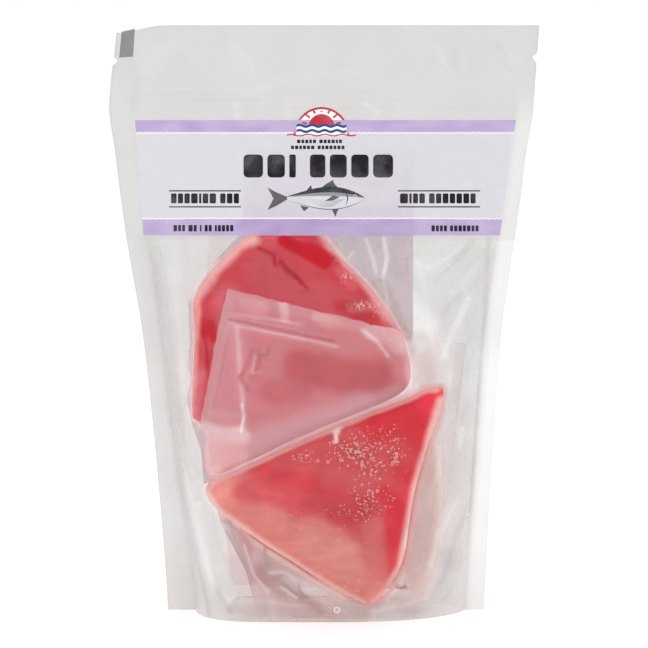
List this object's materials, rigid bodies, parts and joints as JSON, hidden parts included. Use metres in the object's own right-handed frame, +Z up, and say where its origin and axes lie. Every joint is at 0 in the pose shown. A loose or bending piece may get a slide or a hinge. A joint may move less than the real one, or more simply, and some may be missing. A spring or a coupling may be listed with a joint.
{
  "type": "raw tuna steak pack",
  "caption": "Sealed clear stand-up pouch of raw tuna steaks in their own vacuum bags, with side seals, a zip line under a flat header and a bottom gusset that it stands on.",
  "frame": {"origin": "centre of the bounding box at the foot of the standing pouch, on the surface it stands on", "axes": "+Z up to the header's top edge, the printed front with the visible steaks faces -Y, +X to the right as seen from the front"},
  "size_m": [0.2082, 0.0778, 0.285],
  "materials": {
    "pouch": "milky clear film, slightly glossy, drawn over deep red raw fish"
  },
  "bodies": {
    "root": {"pouch": "pouch"}
  },
  "joints": []
}
